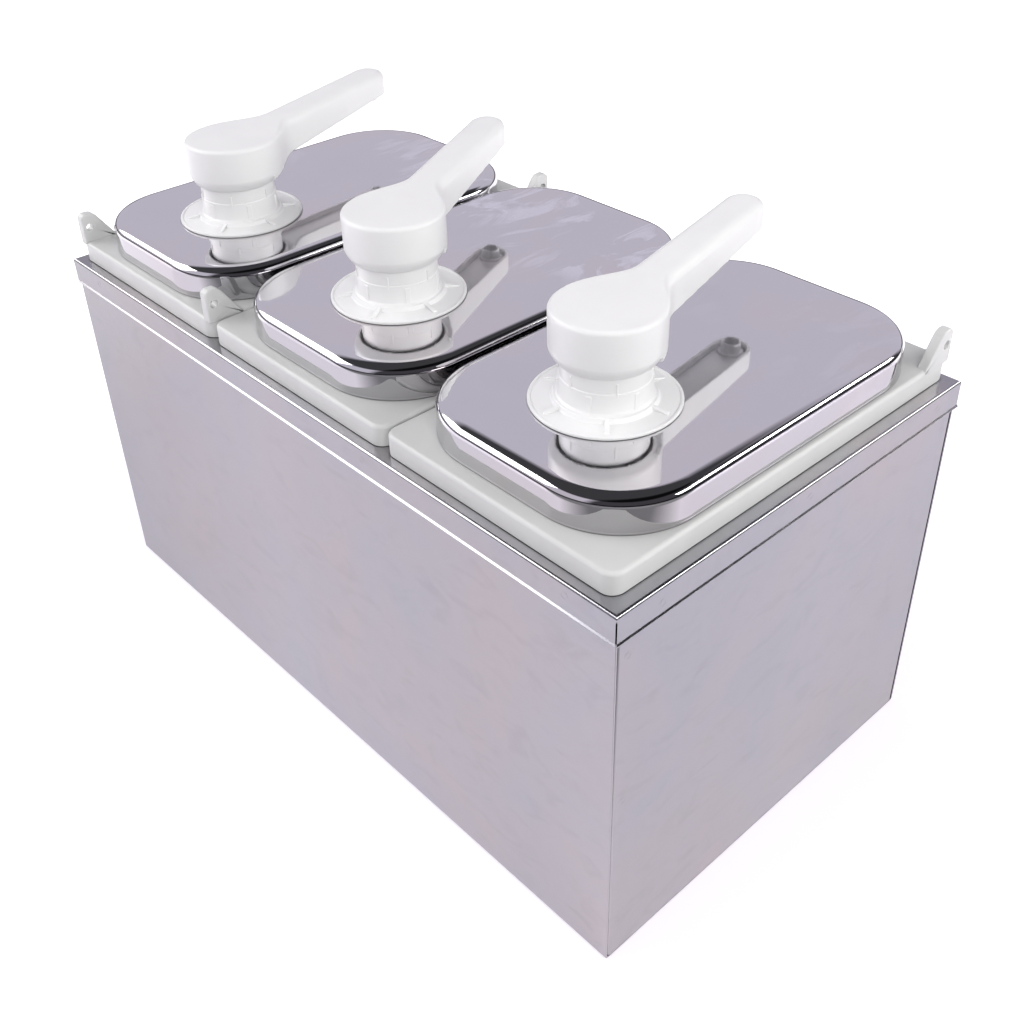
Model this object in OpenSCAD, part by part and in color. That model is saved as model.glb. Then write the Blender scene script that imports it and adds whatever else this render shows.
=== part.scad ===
// Triple condiment pump dispenser: a sheet steel case that holds three food tubs,
// each under a pressed steel lid that carries a hand pump with a swivelling nozzle.
// Millimetres. +X along the case, -Y is the serving side, +Z up, origin under the middle.

/* [Case] */
// Overall width of the top frame along X
case_w = 395; // [370:1:450]
// Overall depth of the top frame along Y
case_d = 220; // [216:1:240]
// Height of the top frame above the table
case_h = 194.7; // [185:0.1:230]
// Thickness of the steel sheet
sheet = 1; // [0.8:0.1:1.2]
// Height of the folded band round the top frame
band_h = 13.4; // [10:0.1:20]
// Gap between the band and the case walls
band_gap = 0.5; // [0.3:0.1:1]

/* [Tubs] */
// Space left over along X outside the three tubs
spare_w = 12; // [11:0.5:16]
// Gap between neighbouring tubs
tub_gap = 1.8; // [1:0.1:3]
// Depth of a tub's rim along Y
tub_d = 211.5; // [206:0.5:212]
// Height of the rim above the frame
rim_h = 10; // [8:0.5:14]
// Depth of the basin below the rim's top
basin_h = 160; // [140:1:165]
// Wall thickness of the moulded tub
tub_wall = 2.2; // [1.8:0.1:2.6]
// How far the row of tubs sits off the middle along X
row_x = -1.5; // [-2:0.5:2]
// How far the row of tubs sits off the middle along Y
row_y = 1.5; // [-2:0.5:2]

/* [Lids] */
// How much narrower than the rim a lid is
lid_inset = 3.8; // [3:0.1:5]
// Depth of a lid along Y
lid_d = 197.5; // [196:0.5:199]
// Corner radius of a lid in plan
lid_corner = 38; // [36:1:42]
// Height of a lid
lid_h = 15.7; // [15:0.1:20]
// Radius of the rolled edge of a lid
lid_roll = 5; // [3:0.5:6]
// Thickness of the lid's sheet
lid_sheet = 0.8; // [0.6:0.1:1]
// Distance of the pump from the lid's middle, towards the serving side
pump_offset = 43.3; // [38:0.1:50]

/* [Pump] */
// Radius of the flange that sits on the lid
flange_r = 30.6; // [27:0.1:34]
// Outer radius of the neck
neck_r = 18.2; // [18:0.1:18.5]
// Height of the neck's top above the lid
neck_h = 20.2; // [19:0.1:20.5]
// Inner radius of the pump cylinder
bore_r = 12.5; // [12:0.1:12.5]
// Depth of the cylinder's floor below the lid
cylinder_h = 60; // [55:1:62]
// Outer radius of the stem
stem_r = 6; // [5.5:0.1:6]
// Clearance of a running fit, on the radius
fit = 0.05; // [0.03:0.01:0.08]

/* [Nozzle] */
// Outer radius of the pump head
head_r = 22.55; // [22.3:0.05:24]
// Height of the head's top above the lid
head_h = 40.9; // [40.8:0.1:43]
// Distance from the pump's axis to the nozzle's tip
nozzle_l = 121; // [100:1:124]
// Width of the nozzle arm
nozzle_w = 18.5; // [17:0.5:19]
// Turn of each nozzle from straight back, left to right, in degrees
nozzle_turn = [16, 27, 12]; // [0:1:28]

/* [Hidden] */
STATIONS = ["left", "middle", "right"];
PIECES = ["tub", "lid", "collar", "gasket", "lock_nut", "cylinder", "guide_cap", "valve_cage",
          "dip_tube", "inlet_ball", "piston", "stem", "spring", "outlet_ball", "head",
          "nozzle_plate"];
$fn = 96;
eps = 0.01;
steel = "silver";
white = "white";
milky = "whitesmoke";

// Case walls stand inside the folded band
body_w = case_w - 2 * (sheet + band_gap);
body_d = case_d - 2 * (sheet + band_gap);
body_h = case_h - sheet;
bend = 1.5;
panel_flange = 10;
corner_slit = 0.5;
slit_top = 2.2;

// Tubs in a row
tub_w = (case_w - spare_w - 2 * tub_gap) / 3;
pitch = tub_w + tub_gap;
rim_corner = 6;
rim_round = 2.5;
rim_top = case_h + rim_h;
cutout_w = tub_w - 7.5;
cutout_d = tub_d - 16.5;
cutout_corner = 34;
basin_w = cutout_w - 5;
basin_d = cutout_d - 5;
basin_corner = 31;
basin_roll = 9;
lip_h = 4;
lip_inset = 1;

// Ears at one end of each tub, which take the hinge pins of a plastic cover
ear_t = 5;
ear_pin_r = 2;
ear_pin_y = 4.1;
ear_pin_z = 7.4;
ear_end = [-1, 1, 1];
ear_outline = [[0, -1], [0, 13], [0.9, 14.4], [2.4, 15], [6.4, 14.7], [8.4, 13.3], [17.5, 0],
               [17.5, -1]];

// Lids, and how far each has slipped on its tub
lid_w = tub_w - lid_inset;
lid_slip = [[0, -2], [0, -0.8], [-1, 0.5]];
lid_hole_r = 17;

// Collar: flange, ribs, base ring, neck and the threaded skirt below the lid
flange_t = 1.6;
base_ring_r = 20.6;
base_ring_h = 3.4;
neck_band_r = neck_r + 0.3;
neck_band_h = 12;
neck_bore_r = neck_r - 1.8;
thread_r = 16.6;
thread_h = 14;
shoulder_h = 4;
rib_count = 6;
rib_w = 2.2;
rib_reach = 28;
neck_rib_out = 0.75;
neck_rib_turn = 40;
collar_turn = [-10, -18, 0];

// Gasket and nut under the lid
gasket_t = 2;
nut_r = 24;
nut_h = 8;
nut_grips = 8;

// Cylinder, hung from a flange inside the neck
cylinder_t = 1.5;
hanger_t = 1.5;
floor_t = 2;
well_r = 5;
well_h = 8;
seat_r = 2.4;
socket_h = 14;
tube_r = 5;
tube_wall = 1.2;
tube_clear = 5.5;
cage_t = 1.8;
cage_hole_r = 2.9;
inlet_ball_r = 4;
outlet_ball_r = 3.5;
seat_clear = 0.05;

// Plunger: piston with two lips on a hollow stem
piston_top = -4;
piston_h = 10;
piston_lip_t = 1.2;
piston_web_z = -11;
piston_seat_r = 2.6;
piston_seat_z = -10;
piston_hub_r = 7.6;
press_gap = 0.02;
stem_top = 36;
stem_bore_r = 3;
ball_room_r = 4.2;
ball_room_top = -3;

// Return spring between the valve cage and the piston
wire_r = 0.7;
coil_r = 10.2;
coil_turns = 7;
coil_steps = 14;
wire_sides = 6;

// Head: a cap whose skirt slides down over the neck
skirt_bottom = 19.7;
skirt_inner_r = 19.3;
skirt_lip_r = 20.2;
skirt_taper_h = 4.3;
head_round = 1.7;
head_top_t = 1.7;
boss_r = 8.3;
boss_bottom = 24;
duct_w = 13;
duct_bottom = 34.7;
duct_wall = 1.3;

// Nozzle arm: a channel, open below, with a plate let into it
arm_root = 16;
arm_root_low = 22.6;
arm_tip_low = 30.2;
arm_tip_top = 43;
arm_wall = 1.8;
arm_top_t = 2;
arm_round = 3.5;
plate_recess = 2.5;
plate_t = 1.5;
spout_r = 4.5;
spout_bore_r = 3.2;
spout_mouth = 26.8;
spout_y = nozzle_l - nozzle_w / 2;

// ---- Places ----

// Move children to the middle of a tub's place in the row
module at_tub(i) {
    translate([row_x + (i - 1) * pitch, row_y, 0]) children();
}

// Move children to a lid's middle, at the rim's top
module at_lid(i) {
    at_tub(i) translate([lid_slip[i][0], lid_slip[i][1], rim_top]) children();
}

// Move children to a pump's axis, with z = 0 on top of the lid
module at_pump(i) {
    at_lid(i) translate([0, -pump_offset, lid_h]) children();
}

// ---- Shared shapes ----

module rounded_rect(w, d, r) {
    square([w - 2 * r, d], center = true);
    square([w, d - 2 * r], center = true);
    for (x = [-1, 1], y = [-1, 1]) {
        translate([x * (w / 2 - r), y * (d / 2 - r)]) circle(r);
    }
}

module rounded_plate(w, d, r, h) {
    linear_extrude(h) rounded_rect(w, d, r);
}

// Section w wide with both top corners rounded
module bar_section(w, h, roll) {
    translate([-w / 2, 0]) square([w, h - roll]);
    translate([-w / 2 + roll, 0]) square([w - 2 * roll, h]);
    for (x = [-1, 1]) {
        translate([x * (w / 2 - roll), h - roll]) circle(roll);
    }
}

// Section from an axis out to r with its top corner rounded
module post_section(r, h, roll) {
    square([r, h - roll]);
    square([r - roll, h]);
    translate([r - roll, h - roll]) circle(roll);
}

// A solid pan with rolled top edges, w by d by h
module pan(w, d, r, h, roll) {
    rotate([90, 0, 0]) linear_extrude(d - 2 * r, center = true) bar_section(w, h, roll);
    rotate([90, 0, 90]) linear_extrude(w - 2 * r, center = true) bar_section(d, h, roll);
    for (x = [-1, 1], y = [-1, 1]) {
        translate([x * (w / 2 - r), y * (d / 2 - r), 0]) rotate_extrude() post_section(r, h, roll);
    }
}

// ---- Case ----

// One sheet folded into front, floor and back
module case_shell() {
    color(steel) rotate([90, 0, 90]) linear_extrude(body_w, center = true) difference() {
        fold_outline(body_d, bend);
        translate([0, sheet]) fold_outline(body_d - 2 * sheet, bend - sheet);
    }
}

module fold_outline(w, r) {
    translate([-w / 2, r]) square([w, body_h - r]);
    translate([-w / 2 + r, 0]) square([w - 2 * r, r + eps]);
    for (y = [-1, 1]) {
        translate([y * (w / 2 - r), r]) circle(r);
    }
}

// End panel with flanges folded in against the front, back and floor
module end_panel(side) {
    inner_d = body_d - 2 * sheet;
    color(steel) mirror([side < 0 ? 1 : 0, 0, 0]) union() {
        translate([0, 0, sheet]) linear_extrude(body_h - sheet) difference() {
            panel_outline(inner_d, 0, bend);
            panel_outline(inner_d - 2 * sheet, sheet, bend - sheet);
        }
        translate([body_w / 2 - panel_flange, -inner_d / 2 + bend, sheet])
            cube([panel_flange - sheet / 2, inner_d - 2 * bend, sheet]);
    }
}

module panel_outline(w, inset, r) {
    x1 = body_w / 2 - inset;
    x0 = body_w / 2 - panel_flange - inset;
    translate([x0, -w / 2]) square([x1 - r - x0, w]);
    translate([x0, -w / 2 + r]) square([x1 - x0, w - 2 * r]);
    for (y = [-1, 1]) {
        translate([x1 - r, y * (w / 2 - r)]) circle(r);
    }
}

module left_end_panel() { end_panel(-1); }

module right_end_panel() { end_panel(1); }

// Top frame: a sheet with three cut-outs, its band folded down on all four sides
module top_frame() {
    low = case_h - band_h;
    color(steel) difference() {
        frame_block(0, low);
        frame_block(sheet, low - 1);
        for (i = [0:2]) at_tub(i) translate([-row_x, -row_y, case_h - 2 * sheet])
            rounded_plate(cutout_w, cutout_d, cutout_corner, 3 * sheet);
        for (x = [-1, 1], y = [-1, 1]) {
            translate([x * case_w / 2, y * case_d / 2, case_h - slit_top - band_h / 2])
                rotate(x * y * 45)
                    cube([6 * sheet, corner_slit, band_h], center = true);
        }
    }
}

// Block with rounded top edges, mitred where they meet, inset all round
module frame_block(inset, low) {
    h = case_h - inset - low;
    w = case_w - 2 * inset;
    d = case_d - 2 * inset;
    translate([0, 0, low]) intersection() {
        rotate([90, 0, 0]) linear_extrude(d, center = true) bar_section(w, h, bend - inset);
        rotate([90, 0, 90]) linear_extrude(w, center = true) bar_section(d, h, bend - inset);
    }
}

// ---- Tubs ----

module tub(i) {
    end = ear_end[i];
    color(milky) at_tub(i) difference() {
        union() {
            rim();
            translate([0, 0, rim_top - tub_wall / 2]) mirror([0, 0, 1])
                pan(basin_w, basin_d, basin_corner, basin_h - tub_wall / 2, basin_roll);
            translate([0, 0, rim_top - tub_wall])
                rounded_plate(basin_w - 2 * lip_inset, basin_d - 2 * lip_inset,
                              basin_corner - lip_inset, lip_h + tub_wall);
            for (x = [-1, 1]) translate([x * (tub_w - ear_t) / 2, end * tub_d / 2, rim_top])
                rotate([90, 0, -90 * end])
                    linear_extrude(ear_t, center = true) polygon(ear_outline);
        }
        translate([0, 0, rim_top + lip_h + 1]) mirror([0, 0, 1])
            pan(basin_w - 2 * tub_wall, basin_d - 2 * tub_wall, basin_corner - tub_wall,
                basin_h - tub_wall + lip_h + 1, basin_roll - tub_wall);
        translate([0, end * (tub_d / 2 - ear_pin_y), rim_top + ear_pin_z])
            rotate([0, 90, 0]) cylinder(r = ear_pin_r, h = tub_w + 2, center = true);
    }
}

// Hollow rim whose skirt stands on the frame
module rim() {
    translate([0, 0, case_h]) difference() {
        pan(tub_w, tub_d, rim_corner, rim_h, rim_round);
        translate([0, 0, -1])
            rounded_plate(tub_w - 2 * tub_wall, tub_d - 2 * tub_wall, rim_corner - tub_wall,
                          rim_h - tub_wall + 1);
    }
}

// ---- Lids ----

module lid(i) {
    color(steel) at_lid(i) difference() {
        pan(lid_w, lid_d, lid_corner, lid_h, lid_roll);
        translate([0, 0, -eps])
            pan(lid_w - 2 * lid_sheet, lid_d - 2 * lid_sheet, lid_corner - lid_sheet,
                lid_h - lid_sheet + eps, lid_roll - lid_sheet);
        translate([0, -pump_offset, 0]) cylinder(r = lid_hole_r, h = lid_h + 1);
    }
}

// ---- Pump parts fixed to the lid ----

module collar(i) {
    color(white) at_pump(i) rotate(collar_turn[i] - 45) union() {
        rotate_extrude() polygon([
            [neck_bore_r - 2.1, -thread_h], [thread_r, -thread_h], [thread_r, 0],
            [flange_r, 0], [flange_r, flange_t - 0.4], [flange_r - 0.8, flange_t],
            [base_ring_r, flange_t], [base_ring_r, base_ring_h], [neck_band_r, base_ring_h],
            [neck_band_r, neck_band_h], [neck_r, neck_band_h + 0.5], [neck_r, neck_h],
            [neck_bore_r, neck_h], [neck_bore_r, shoulder_h], [neck_bore_r - 2.1, shoulder_h]]);
        for (k = [0:rib_count - 1]) rotate(k * 360 / rib_count) {
            rotate([90, 0, 0]) linear_extrude(rib_w, center = true)
                polygon([[base_ring_r - 1, flange_t - eps], [rib_reach, flange_t - eps],
                         [base_ring_r - 1, base_ring_h - 0.2]]);
            rotate(neck_rib_turn) translate([neck_r - 1, -rib_w / 2, base_ring_h - eps])
                cube([1 + neck_rib_out, rib_w, neck_band_h - base_ring_h + 1]);
        }
    }
}

module gasket(i) {
    color("dimgray") at_pump(i) translate([0, 0, -lid_sheet - gasket_t])
        rotate_extrude() translate([lid_hole_r, 0]) square([nut_r - lid_hole_r - 1, gasket_t]);
}

module lock_nut(i) {
    color(white) at_pump(i) translate([0, 0, -lid_sheet - gasket_t - nut_h]) difference() {
        union() {
            cylinder(r = nut_r - 1.5, h = nut_h);
            for (k = [0:nut_grips - 1]) rotate(k * 360 / nut_grips)
                translate([nut_r - 4, -3, 0]) cube([4, 6, nut_h]);
        }
        translate([0, 0, -1]) cylinder(r = thread_r + fit, h = nut_h + 2);
    }
}

module cylinder_tube(i) {
    outer_r = bore_r + cylinder_t;
    low = -cylinder_h - floor_t;
    well_low = low - well_h;
    tube_top = well_low - floor_t;
    color(milky) at_pump(i) rotate_extrude() polygon([
        [bore_r, shoulder_h + hanger_t], [neck_bore_r - 0.2, shoulder_h + hanger_t],
        [neck_bore_r - 0.2, shoulder_h], [outer_r, shoulder_h], [outer_r, low],
        [well_r + 1.8, low - 2], [tube_r + 1.8, tube_top - socket_h],
        [tube_r + press_gap, tube_top - socket_h], [tube_r + press_gap, tube_top],
        [seat_r, tube_top], [seat_r, well_low], [well_r, well_low + well_r - seat_r],
        [well_r, low + floor_t],
        [bore_r, low + floor_t]]);
}

module guide_cap(i) {
    low = shoulder_h + hanger_t;
    color(white) at_pump(i) rotate_extrude() polygon([
        [stem_r + fit, -2], [boss_r + 2.2, -2], [boss_r + 2.2, neck_h - 1.8],
        [neck_bore_r - 1.6, neck_h - 1.8], [neck_bore_r - 1.6, low], [neck_bore_r - 0.1, low],
        [neck_bore_r - 0.1, neck_h], [boss_r + 0.7, neck_h], [boss_r + 0.7, 0],
        [stem_r + fit, 0]]);
}

module valve_cage(i) {
    color(white) at_pump(i) translate([0, 0, -cylinder_h]) rotate_extrude()
        translate([cage_hole_r, 0]) square([bore_r - 0.2 - cage_hole_r, cage_t]);
}

module dip_tube(i) {
    top = -cylinder_h - 2 * floor_t - well_h;
    low = tub_wall + tube_clear - basin_h - lid_h;
    color(milky) at_pump(i) translate([0, 0, low]) difference() {
        cylinder(r = tube_r, h = top - low);
        translate([0, 0, -1]) cylinder(r = tube_r - tube_wall, h = top - low + 2);
        for (a = [0, 90]) rotate([90, 0, a])
            cylinder(r = 2, h = 4 * tube_r, center = true);
    }
}

module inlet_ball(i) {
    seat_z = -cylinder_h - floor_t - well_h;
    rest_z = seat_z - seat_r + sqrt(2) * (inlet_ball_r + seat_clear);
    color("gainsboro") at_pump(i) translate([0, 0, rest_z]) sphere(inlet_ball_r);
}

// ---- Plunger ----

module piston(i) {
    low = piston_top - piston_h;
    lip_r = bore_r - fit;
    color(white) at_pump(i) rotate_extrude() polygon([
        [piston_seat_r, piston_seat_z - 3], [piston_hub_r, piston_seat_z - 3],
        [piston_hub_r, piston_web_z], [lip_r - piston_lip_t, piston_web_z],
        [lip_r - piston_lip_t, low], [lip_r, low], [lip_r, piston_top],
        [lip_r - piston_lip_t, piston_top], [lip_r - piston_lip_t, piston_web_z + 2],
        [piston_hub_r, piston_web_z + 2], [piston_hub_r, piston_top],
        [stem_r + press_gap, piston_top], [stem_r + press_gap, piston_seat_z],
        [piston_seat_r, piston_seat_z]]);
}

module stem(i) {
    color(white) at_pump(i) rotate_extrude() polygon([
        [ball_room_r, piston_seat_z], [stem_r, piston_seat_z], [stem_r, stem_top],
        [stem_bore_r, stem_top], [stem_bore_r, ball_room_top], [ball_room_r, ball_room_top - 1]]);
}

// Wire rings along a helix, joined into one closed tube
module spring(i) {
    low = -cylinder_h + cage_t + wire_r + seat_clear;
    rise = piston_web_z - wire_r - seat_clear - low;
    last = coil_turns * coil_steps;
    rings = [for (k = [0:last]) let (a = 360 * k / coil_steps)
        [for (s = [0:wire_sides - 1]) let (b = 360 * s / wire_sides)
            [(coil_r + wire_r * cos(b)) * cos(a), (coil_r + wire_r * cos(b)) * sin(a),
             low + rise * k / last + wire_r * sin(b)]]];
    sides = [for (k = [0:last - 1]) for (s = [0:wire_sides - 1])
        let (n = (s + 1) % wire_sides, here = k * wire_sides, there = here + wire_sides)
        [here + s, here + n, there + n, there + s]];
    ends = [[for (s = [0:wire_sides - 1]) wire_sides - 1 - s],
            [for (s = [0:wire_sides - 1]) last * wire_sides + s]];
    color("darkgray") at_pump(i)
        polyhedron(points = [for (r = rings) for (p = r) p], faces = concat(sides, ends));
}

module outlet_ball(i) {
    rest_z = piston_seat_z + sqrt(pow(outlet_ball_r, 2) - pow(piston_seat_r, 2)) + seat_clear;
    color("gainsboro") at_pump(i) translate([0, 0, rest_z]) sphere(outlet_ball_r);
}

// ---- Head and nozzle ----

module at_nozzle(i) {
    at_pump(i) rotate(nozzle_turn[i]) children();
}

// Plan of the arm from y = root to its round tip, inset all round
module arm_plan(root, inset) {
    w = nozzle_w - 2 * inset;
    translate([-w / 2, root]) square([w, spout_y - root]);
    translate([0, spout_y]) circle(w / 2);
}

// Side view of the arm, between a drop below its top and a rise above its underside
module arm_side(drop, rise) {
    rotate([90, 0, 90]) linear_extrude(2 * nozzle_w, center = true)
        polygon([[0, arm_root_low + rise], [head_r, arm_root_low + rise],
                 [spout_y, arm_tip_low + rise], [nozzle_l + 1, arm_tip_low + rise],
                 [nozzle_l + 1, arm_tip_top - drop], [head_r, head_h - drop],
                 [0, head_h - drop]]);
}

// Solid arm, its top edges rounded and its top rising towards the tip
module arm_body() {
    rise = atan((arm_tip_top - head_h) / (nozzle_l - head_r));
    side = nozzle_w / 2 - arm_round;
    intersection() {
        translate([0, head_r, head_h]) rotate([rise, 0, 0]) translate([0, -head_r, 0]) {
            translate([0, 0, -head_h / 2])
                linear_extrude(head_h / 2 - arm_round) arm_plan(arm_root, 0);
            translate([0, 0, -2 * arm_round])
                linear_extrude(2 * arm_round) arm_plan(arm_root, arm_round);
            for (x = [-side, side]) translate([x, arm_root, -arm_round])
                rotate([-90, 0, 0]) cylinder(r = arm_round, h = spout_y - arm_root, $fn = 48);
            translate([0, spout_y, -arm_round])
                rotate_extrude() translate([side, 0]) circle(arm_round, $fn = 48);
        }
        arm_side(-2, 0);
    }
}

module head(i) {
    color(white) at_nozzle(i) difference() {
        union() {
            head_cap();
            arm_body();
        }
        head_cavity();
        intersection() {
            linear_extrude(arm_tip_top) arm_plan(head_r, arm_wall);
            arm_side(arm_top_t, -10);
        }
        translate([0, 0, boss_bottom - 1])
            cylinder(r = stem_r + fit, h = head_h - head_top_t - boss_bottom + 1);
        translate([-duct_w / 2 + duct_wall, 0, duct_bottom + duct_wall])
            cube([duct_w - 2 * duct_wall, head_r + 1,
                  head_h - head_top_t - duct_bottom - duct_wall]);
    }
}

module head_cap() {
    rotate_extrude() polygon(concat(
        [[0, skirt_bottom], [skirt_lip_r, skirt_bottom],
         [head_r, skirt_bottom + skirt_taper_h]],
        [for (a = [0:15:90]) [head_r - head_round * (1 - cos(a)),
                              head_h - head_round * (1 - sin(a))]],
        [[0, head_h]]));
}

// Room inside the skirt, around the boss and under the duct
module head_cavity() {
    difference() {
        translate([0, 0, skirt_bottom - 1])
            cylinder(r = skirt_inner_r, h = head_h - head_top_t - skirt_bottom + 1);
        translate([0, 0, boss_bottom]) cylinder(r = boss_r, h = head_h - boss_bottom);
        translate([-duct_w / 2, 0, duct_bottom])
            cube([duct_w, head_r, head_h - duct_bottom]);
    }
}

// Plate that closes the arm from below, with the spout moulded on
module nozzle_plate(i) {
    color(white) at_nozzle(i) difference() {
        union() {
            intersection() {
                linear_extrude(arm_tip_top) arm_plan(head_r + fit, arm_wall + fit);
                difference() {
                    arm_side(0, plate_recess);
                    arm_side(-2, plate_recess + plate_t);
                }
            }
            translate([0, spout_y, spout_mouth])
                cylinder(r = spout_r, h = arm_tip_low + plate_recess + 0.5 - spout_mouth);
        }
        translate([0, spout_y, spout_mouth - 1])
            cylinder(r = spout_bore_r, h = arm_tip_top - spout_mouth);
    }
}

// ---- Output ----

module piece(kind, i) {
    if (kind == "tub") tub(i);
    if (kind == "lid") lid(i);
    if (kind == "collar") collar(i);
    if (kind == "gasket") gasket(i);
    if (kind == "lock_nut") lock_nut(i);
    if (kind == "cylinder") cylinder_tube(i);
    if (kind == "guide_cap") guide_cap(i);
    if (kind == "valve_cage") valve_cage(i);
    if (kind == "dip_tube") dip_tube(i);
    if (kind == "inlet_ball") inlet_ball(i);
    if (kind == "piston") piston(i);
    if (kind == "stem") stem(i);
    if (kind == "spring") spring(i);
    if (kind == "outlet_ball") outlet_ball(i);
    if (kind == "head") head(i);
    if (kind == "nozzle_plate") nozzle_plate(i);
}

case_shell();
left_end_panel();
right_end_panel();
top_frame();
for (i = [0:2]) for (kind = PIECES) {
    piece(kind, i);
}
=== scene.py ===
import math

import bmesh
import bpy
import numpy as np
from mathutils import Matrix, Vector
from mathutils.geometry import tessellate_polygon


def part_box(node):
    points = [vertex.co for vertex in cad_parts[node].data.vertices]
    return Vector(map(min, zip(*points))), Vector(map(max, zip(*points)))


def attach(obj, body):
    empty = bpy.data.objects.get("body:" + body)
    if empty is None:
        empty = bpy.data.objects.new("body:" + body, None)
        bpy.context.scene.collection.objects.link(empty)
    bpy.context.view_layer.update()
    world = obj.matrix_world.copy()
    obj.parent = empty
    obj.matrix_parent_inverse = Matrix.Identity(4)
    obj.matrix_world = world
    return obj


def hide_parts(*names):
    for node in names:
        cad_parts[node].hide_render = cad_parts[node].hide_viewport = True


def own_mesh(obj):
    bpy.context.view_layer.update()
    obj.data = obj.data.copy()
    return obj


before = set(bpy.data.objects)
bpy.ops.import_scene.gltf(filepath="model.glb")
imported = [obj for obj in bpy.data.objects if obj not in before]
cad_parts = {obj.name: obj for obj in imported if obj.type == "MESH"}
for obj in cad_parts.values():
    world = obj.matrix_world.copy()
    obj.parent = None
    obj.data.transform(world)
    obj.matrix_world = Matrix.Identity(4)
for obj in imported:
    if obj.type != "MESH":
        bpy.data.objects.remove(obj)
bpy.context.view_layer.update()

MM = 0.001
STATIONS = ("left", "middle", "right")
TURN = {"left": 16, "middle": 27, "right": 12}        # degrees each nozzle is turned at rest
EAR_END = {"left": -1, "middle": 1, "right": 1}       # end of the tub that has the ears


# ---------------------------------------------------------------- sections

def round_path(points, closed=False, step=11.0):
    """Points (x, z, radius) to a path with arcs at the corners. Travels with the solid on
    its left. Returns positions and outward normals, both N by 2."""
    pos, nor = [], []
    n = len(points)
    for i, (x, z, r) in enumerate(points):
        p = np.array([x, z], float)
        if not closed and i in (0, n - 1):
            q = np.array(points[1 if i == 0 else n - 2][:2], float)
            t = (q - p) if i == 0 else (p - q)
            t /= np.linalg.norm(t)
            pos.append(p)
            nor.append(np.array([t[1], -t[0]]))
            continue
        before = np.array(points[i - 1][:2], float)
        after = np.array(points[(i + 1) % n][:2], float)
        a, b = p - before, after - p
        la, lb = np.linalg.norm(a), np.linalg.norm(b)
        a, b = a / la, b / lb
        turn = math.atan2(a[0] * b[1] - a[1] * b[0], a.dot(b))
        if abs(turn) < 1e-4:
            pos.append(p)
            nor.append(np.array([a[1], -a[0]]))
            continue
        sign = 1.0 if turn > 0 else -1.0
        reach = min(max(r, 0.02) * math.tan(abs(turn) / 2), 0.49 * la, 0.49 * lb)
        r = reach / math.tan(abs(turn) / 2)
        centre = p - a * reach + sign * r * np.array([-a[1], a[0]])
        steps = max(2, int(math.ceil(math.degrees(abs(turn)) / step)))
        start = np.array([a[1], -a[0]])
        for k in range(steps + 1):
            w = turn * k / steps
            c, s = math.cos(w), math.sin(w)
            out = np.array([c * start[0] - s * start[1], s * start[0] + c * start[1]])
            pos.append(centre + sign * r * out)
            nor.append(out)
    return np.array(pos), np.array(nor)


def rounded_rect(w, d, r, n):
    """Points and outward directions of a rounded rectangle, 4(n+1) of each."""
    pts, dirs = [], []
    for k, (sx, sy) in enumerate(((1, 1), (-1, 1), (-1, -1), (1, -1))):
        for j in range(n + 1):
            a = (k + j / n) * math.pi / 2
            pts.append((sx * (w / 2 - r) + r * math.cos(a), sy * (d / 2 - r) + r * math.sin(a)))
            dirs.append((math.cos(a), math.sin(a)))
    return np.array(pts), np.array(dirs)


class Shell:
    """Collects vertices, normals and faces in millimetres."""

    def __init__(self):
        self.v, self.n, self.f = [], [], []
        self.count = 0

    def points(self, pts, normals):
        base = self.count
        self.v.append(np.asarray(pts, float))
        self.n.append(np.asarray(normals, float))
        self.count += len(pts)
        return base

    def bridge(self, a, b, size, flip=False):
        """Quads between two rings that start at indices a and b."""
        for j in range(size):
            k = (j + 1) % size
            quad = (a + j, a + k, b + k, b + j)
            self.f.append(quad[::-1] if flip else quad)

    def seal(self, base, size, flip=False):
        """One face over a whole ring."""
        ring = tuple(range(base, base + size))
        self.f.append(ring[::-1] if flip else ring)

    def fan(self, base, size, centre, normal, flip):
        """Triangles from a ring to its centre."""
        c = self.points([centre], [normal])
        for j in range(size):
            k = (j + 1) % size
            self.f.append((base + k, base + j, c) if flip else (base + j, base + k, c))

    def loft(self, rings, capped=True):
        """Joins rings, each (N by 3 points, N by 3 normals); capped closes both ends."""
        size = len(rings[0][0])
        bases = [self.points(p, n) for p, n in rings]
        for a, b in zip(bases[:-1], bases[1:]):
            self.bridge(a, b, size)
        if capped:
            for i, flip in ((0, True), (-1, False)):
                pts, nor = rings[i]
                self.fan(bases[i], size, pts.mean(0), nor.mean(0), flip)
        return bases

    def add(self, other):
        base = self.count
        self.v += other.v
        self.n += other.n
        self.f += [tuple(i + base for i in f) for f in other.f]
        self.count += other.count

    def moved(self, matrix):
        """A copy moved by a 4x4 in millimetres."""
        m = np.array(matrix)
        out = Shell()
        v, n = np.vstack(self.v), np.vstack(self.n)
        out.v = [v @ m[:3, :3].T + m[:3, 3]]
        out.n = [n @ m[:3, :3].T]
        out.f = list(self.f)
        out.count = self.count
        return out


def closed_revolve(shell, points, segments, step):
    """Turns a closed section (radius, z, corner radius) about Z."""
    pos, nor = round_path(points, closed=True, step=step)
    a = np.arange(segments) * 2 * math.pi / segments
    ca, sa = np.cos(a), np.sin(a)
    bases = []
    for (r, z), (nr, nz) in zip(pos, nor):
        bases.append(shell.points(np.stack([r * ca, r * sa, np.full(segments, z)], 1),
                                  np.stack([nr * ca, nr * sa, np.full(segments, nz)], 1)))
    for a0, b0 in zip(bases, bases[1:] + bases[:1]):
        shell.bridge(a0, b0, segments)


def linked(name, data):
    """A new object in the scene."""
    obj = bpy.data.objects.new(name, data)
    bpy.context.scene.collection.objects.link(obj)
    return obj


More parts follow.
